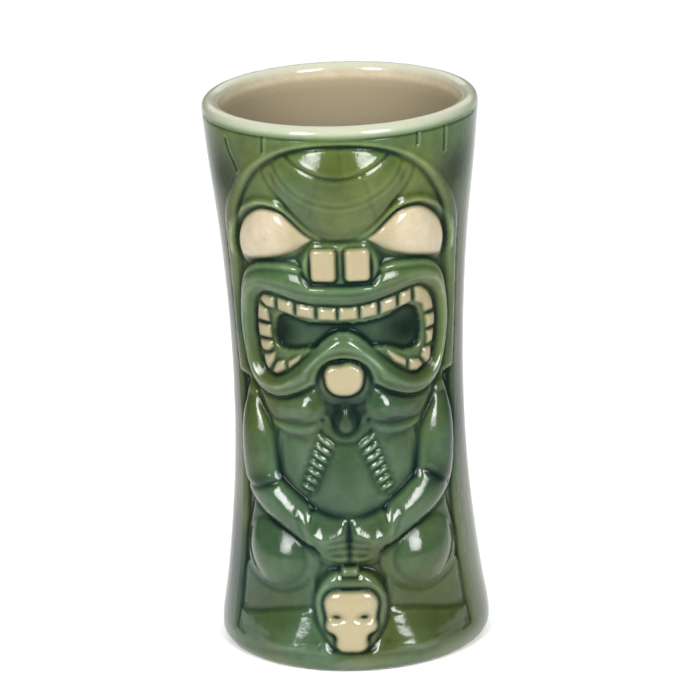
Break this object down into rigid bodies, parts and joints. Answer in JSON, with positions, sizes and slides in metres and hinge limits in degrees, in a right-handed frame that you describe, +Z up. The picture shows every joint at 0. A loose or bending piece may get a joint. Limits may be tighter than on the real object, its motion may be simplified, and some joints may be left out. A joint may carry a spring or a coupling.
{
  "type": "tiki mug",
  "caption": "Tall waisted ceramic drinking mug with a carved-style standing figure in relief on the front, glazed green and cream.",
  "frame": {"origin": "centre of the foot, on the plane the mug stands on", "axes": "+Z up along the mug's axis, the figure faces -Y, +X to the viewer's right"},
  "size_m": [0.0864, 0.0864, 0.178],
  "materials": {
    "vessel_glaze": "gloss celadon glaze outside, cream glaze inside and bare clay under the foot",
    "green_glaze": "gloss translucent green glaze that pools dark in the recesses",
    "cream_glaze": "gloss cream glaze"
  },
  "bodies": {
    "root": {"arm_left": "green_glaze", "arm_right": "green_glaze", "belly": "green_glaze", "chin": "green_glaze", "chin_tuft": "cream_glaze", "collar_lip": "green_glaze", "eye_left": "cream_glaze", "eye_right": "cream_glaze", "eyelid_left": "green_glaze", "eyelid_right": "green_glaze", "flank_left": "green_glaze", "flank_right": "green_glaze", "foot_left": "green_glaze", "foot_right": "green_glaze", "forehead_band": "green_glaze", "forehead_brow": "green_glaze", "forehead_crown": "green_glaze", "fringe_left": "green_glaze", "fringe_right": "green_glaze", "gums": "green_glaze", "hand_left": "green_glaze", "hand_right": "green_glaze", "hood_arch": "green_glaze", "knee_left": "green_glaze", "knee_right": "green_glaze", "lips": "green_glaze", "mantle": "green_glaze", "nose": "green_glaze", "nostril_left": "cream_glaze", "nostril_right": "cream_glaze", "pectoral_left": "green_glaze", "pectoral_right": "green_glaze", "plinth": "green_glaze", "rib_left": "green_glaze", "rib_right": "green_glaze", "shin_left": "green_glaze", "shin_right": "green_glaze", "skull_face": "cream_glaze", "skull_head": "green_glaze", "teeth_side_left": "cream_glaze", "teeth_side_right": "cream_glaze", "teeth_upper": "cream_glaze", "throat_drop": "green_glaze", "top_knot": "green_glaze", "vessel": "vessel_glaze"}
  },
  "joints": []
}
